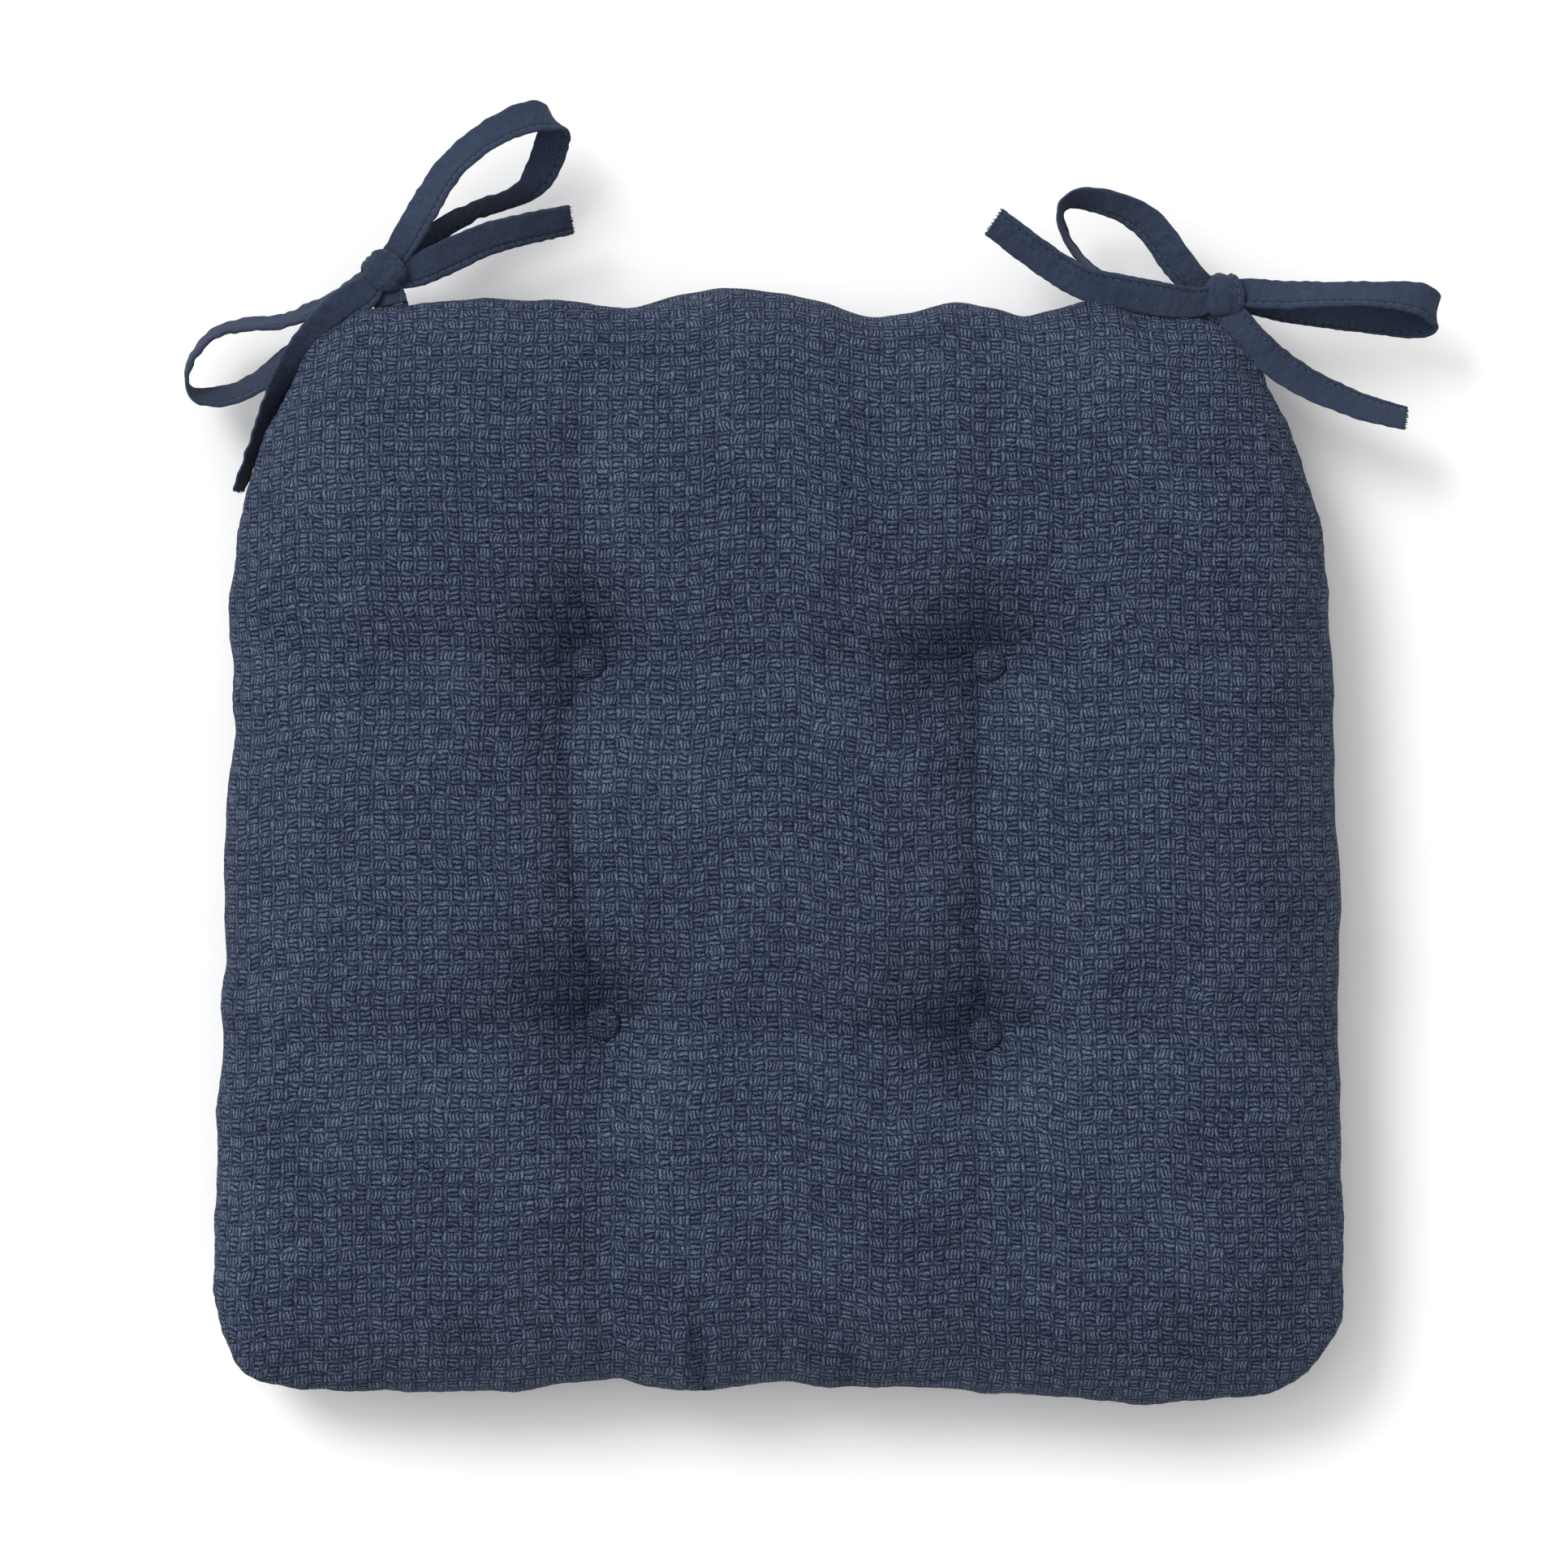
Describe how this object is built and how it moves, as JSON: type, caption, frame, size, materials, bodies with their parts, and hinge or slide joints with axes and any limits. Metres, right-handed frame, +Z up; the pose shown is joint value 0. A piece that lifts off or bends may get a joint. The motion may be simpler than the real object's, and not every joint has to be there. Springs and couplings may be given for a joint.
{
  "type": "tufted chair pad",
  "caption": "Horseshoe-outline seat cushion of navy basket-weave cloth, button tufted through a fibre fill, with fabric ties in bows at the rear corners.",
  "frame": {"origin": "middle of the flat underside, on the surface the pad rests on", "axes": "+Z up, +Y to the rear edge with the ties, +X to the right seen from above with the ties away from the viewer"},
  "size_m": [0.4481, 0.4629, 0.072],
  "materials": {
    "cover_cloth": "matte basket weave of heathered navy yarn",
    "fill": "loose white polyester fibre",
    "thread": "matte sewing thread",
    "twine": "waxed tufting twine",
    "tie_cloth": "matte plain weave, fine, edge stitched",
    "button_metal": "pressed sheet, satin",
    "button_plastic": "moulded, matte"
  },
  "bodies": {
    "root": {"bottom_cover": "cover_cloth", "fibre_fill": "fill", "perimeter_seam": "thread", "closing_seam": "thread", "rear_left_lower_button_cap": "cover_cloth", "rear_left_lower_button_shell": "button_metal", "rear_left_lower_button_back": "button_plastic", "rear_left_tuft_twine": "twine", "rear_right_lower_button_cap": "cover_cloth", "rear_right_lower_button_shell": "button_metal", "rear_right_lower_button_back": "button_plastic", "rear_right_tuft_twine": "twine", "front_left_lower_button_cap": "cover_cloth", "front_left_lower_button_shell": "button_metal", "front_left_lower_button_back": "button_plastic", "front_left_tuft_twine": "twine", "front_right_lower_button_cap": "cover_cloth", "front_right_lower_button_shell": "button_metal", "front_right_lower_button_back": "button_plastic", "front_right_tuft_twine": "twine", "left_tie_tab": "tie_cloth", "left_tie_bartack": "thread", "right_tie_tab": "tie_cloth", "right_tie_bartack": "thread"},
    "seat_top": {"top_cover": "cover_cloth"},
    "tuft_buttons": {"rear_left_upper_button_cap": "cover_cloth", "rear_left_upper_button_shell": "button_metal", "rear_left_upper_button_back": "button_plastic", "rear_right_upper_button_cap": "cover_cloth", "rear_right_upper_button_shell": "button_metal", "rear_right_upper_button_back": "button_plastic", "front_left_upper_button_cap": "cover_cloth", "front_left_upper_button_shell": "button_metal", "front_left_upper_button_back": "button_plastic", "front_right_upper_button_cap": "cover_cloth", "front_right_upper_button_shell": "button_metal", "front_right_upper_button_back": "button_plastic"},
    "left_bow": {"left_tie_neck": "tie_cloth", "left_tie_knot": "tie_cloth"},
    "right_bow": {"right_tie_neck": "tie_cloth", "right_tie_knot": "tie_cloth"},
    "left_upper_loop_body": {"left_upper_loop": "tie_cloth"},
    "left_lower_loop_body": {"left_lower_loop": "tie_cloth"},
    "right_inner_loop_body": {"right_inner_loop": "tie_cloth"},
    "right_outer_loop_body": {"right_outer_loop": "tie_cloth"},
    "left_upper_tail_body": {"left_upper_tail": "tie_cloth"},
    "left_lower_tail_body": {"left_lower_tail": "tie_cloth"},
    "right_inner_tail_body": {"right_inner_tail": "tie_cloth"},
    "right_outer_tail_body": {"right_outer_tail": "tie_cloth"}
  },
  "joints": [
    {"name": "seat_press", "type": "slide", "parent": "root", "child": "seat_top", "axis": [0, 0, 1], "range_m": [-0.022, 0], "stiffness_N_per_m": 6000, "deforming": ["top_cover", "fibre_fill", "rear_left_tuft_twine", "rear_right_tuft_twine", "front_left_tuft_twine", "front_right_tuft_twine"]},
    {"name": "button_drop", "type": "slide", "parent": "root", "child": "tuft_buttons", "axis": [0, 0, 1], "range_m": [-0.0041, 0]},
    {"name": "left_bow_swing", "type": "hinge", "parent": "root", "child": "left_bow", "pos_m": [-0.13962, 0.19626, 0.032], "axis": [0.9712, 0.2383, 0], "range_deg": [-10, 18], "stiffness_Nm_per_rad": 0.02},
    {"name": "right_bow_swing", "type": "hinge", "parent": "root", "child": "right_bow", "pos_m": [0.15451, 0.19358, 0.032], "axis": [0.846, -0.5332, 0], "range_deg": [-10, 18], "stiffness_Nm_per_rad": 0.02},
    {"name": "left_upper_loop_sway", "type": "hinge", "parent": "left_bow", "child": "left_upper_loop_body", "pos_m": [-0.1425, 0.208, 0.02625], "axis": [0, 0, 1], "range_deg": [-12, 20]},
    {"name": "left_lower_loop_sway", "type": "hinge", "parent": "left_bow", "child": "left_lower_loop_body", "pos_m": [-0.1425, 0.208, 0.02625], "axis": [0, 0, 1], "range_deg": [-20, 6]},
    {"name": "right_inner_loop_sway", "type": "hinge", "parent": "right_bow", "child": "right_inner_loop_body", "pos_m": [0.1595, 0.2015, 0.02625], "axis": [0, 0, 1], "range_deg": [-20, 8]},
    {"name": "right_outer_loop_sway", "type": "hinge", "parent": "right_bow", "child": "right_outer_loop_body", "pos_m": [0.1595, 0.2015, 0.02625], "axis": [0, 0, 1], "range_deg": [-10, 20]},
    {"name": "left_upper_tail_lift", "type": "hinge", "parent": "left_bow", "child": "left_upper_tail_body", "pos_m": [-0.13415, 0.21137, 0.0342], "axis": [0.3746, -0.9272, 0], "range_deg": [0, 35]},
    {"name": "left_lower_tail_lift", "type": "hinge", "parent": "left_bow", "child": "left_lower_tail_body", "pos_m": [-0.15005, 0.2031, 0.0342], "axis": [-0.5446, 0.8387, 0], "range_deg": [0, 35]},
    {"name": "right_inner_tail_lift", "type": "hinge", "parent": "right_bow", "child": "right_inner_tail_body", "pos_m": [0.15064, 0.20306, 0.0342], "axis": [0.1736, 0.9848, 0], "range_deg": [0, 35]},
    {"name": "right_outer_tail_lift", "type": "hinge", "parent": "right_bow", "child": "right_outer_tail_body", "pos_m": [0.16678, 0.19621, 0.0342], "axis": [-0.5878, -0.809, 0], "range_deg": [0, 35]}
  ],
  "couplings": [
    {"joint": "button_drop", "follows": "seat_press", "ratio": 0.186}
  ]
}
